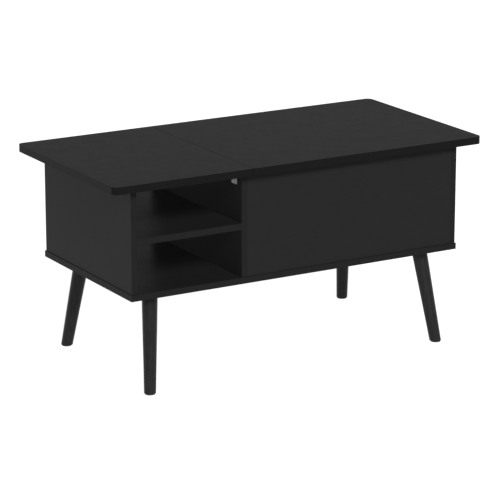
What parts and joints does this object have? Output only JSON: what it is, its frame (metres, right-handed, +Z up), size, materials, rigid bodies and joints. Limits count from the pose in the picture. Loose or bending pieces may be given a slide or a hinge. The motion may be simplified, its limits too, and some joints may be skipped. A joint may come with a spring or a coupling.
{
  "type": "lift top coffee table",
  "caption": "Black coffee table on splayed round legs, with open side bays and a top section that lifts up and forward over a hidden storage box.",
  "frame": {"origin": "on the floor under the middle of the closed top", "axes": "+X to the right seen from the open front, +Y to the back, +Z up"},
  "size_m": [1, 0.5, 0.51],
  "materials": {
    "black_laminate": "satin",
    "black_lacquer": "satin lacquer",
    "zinc_steel": "bright zinc plated",
    "cam_alloy": "die cast",
    "hinge_steel": "black powder coat",
    "spring_steel": "zinc plated",
    "beech": "raw",
    "black_plastic": "matt",
    "white_nylon": "satin",
    "clear_rubber": "soft"
  },
  "bodies": {
    "cabinet": {"fixed_top": "black_laminate", "left_side_panel": "black_laminate", "right_side_panel": "black_laminate", "divider_panel": "black_laminate", "front_panel": "black_laminate", "back_panel": "black_laminate", "bottom_panel": "black_laminate", "shelf_board": "black_laminate", "front_left_leg": "black_lacquer", "front_right_leg": "black_lacquer", "rear_left_leg": "black_lacquer", "rear_right_leg": "black_lacquer", "leg_hanger_bolts": "zinc_steel", "leg_threaded_inserts": "zinc_steel", "panel_screws": "zinc_steel", "cam_bolts": "zinc_steel", "top_corner_brackets": "zinc_steel", "corner_bracket_screws": "zinc_steel", "base_plate_screws": "zinc_steel", "base_pivot_pins": "zinc_steel", "spring_anchor_posts": "zinc_steel", "cam_locks": "cam_alloy", "left_base_plate": "hinge_steel", "right_base_plate": "hinge_steel", "left_spring": "spring_steel", "right_spring": "spring_steel", "dowels": "beech", "leg_glides": "black_plastic", "base_pivot_washers": "white_nylon", "lid_bumpers": "clear_rubber"},
    "left_main_arm": {"left_main_arm": "hinge_steel", "left_crank_post": "zinc_steel"},
    "right_main_arm": {"right_main_arm": "hinge_steel", "right_crank_post": "zinc_steel"},
    "left_front_arm": {"left_front_arm": "hinge_steel"},
    "right_front_arm": {"right_front_arm": "hinge_steel"},
    "lift_top": {"lift_top_board": "black_laminate", "left_top_rail": "hinge_steel", "right_top_rail": "hinge_steel", "top_rail_screws": "zinc_steel", "top_pivot_pins": "zinc_steel", "top_pivot_washers": "white_nylon"}
  },
  "joints": [
    {"name": "lift_hinge", "type": "hinge", "parent": "cabinet", "child": "left_main_arm", "pos_m": [-0.1354, -0.085, 0.39806], "axis": [1, 0, 0], "range_deg": [0, 100], "deforming": ["left_spring", "right_spring"]},
    {"name": "left_front_arm_hinge", "type": "hinge", "parent": "cabinet", "child": "left_front_arm", "pos_m": [-0.1354, -0.14, 0.42106], "axis": [1, 0, 0], "range_deg": [0, 100]},
    {"name": "right_main_arm_hinge", "type": "hinge", "parent": "cabinet", "child": "right_main_arm", "pos_m": [0.4244, -0.085, 0.39806], "axis": [1, 0, 0], "range_deg": [0, 100]},
    {"name": "right_front_arm_hinge", "type": "hinge", "parent": "cabinet", "child": "right_front_arm", "pos_m": [0.4244, -0.14, 0.42106], "axis": [1, 0, 0], "range_deg": [0, 100]},
    {"name": "top_level_hinge", "type": "hinge", "parent": "left_main_arm", "child": "lift_top", "pos_m": [-0.1354, 0.1275, 0.455], "axis": [1, 0, 0], "range_deg": [-100, 0]}
  ],
  "couplings": [
    {"joint": "left_front_arm_hinge", "follows": "lift_hinge", "ratio": 1},
    {"joint": "right_main_arm_hinge", "follows": "lift_hinge", "ratio": 1},
    {"joint": "right_front_arm_hinge", "follows": "lift_hinge", "ratio": 1},
    {"joint": "top_level_hinge", "follows": "lift_hinge", "ratio": -1}
  ]
}
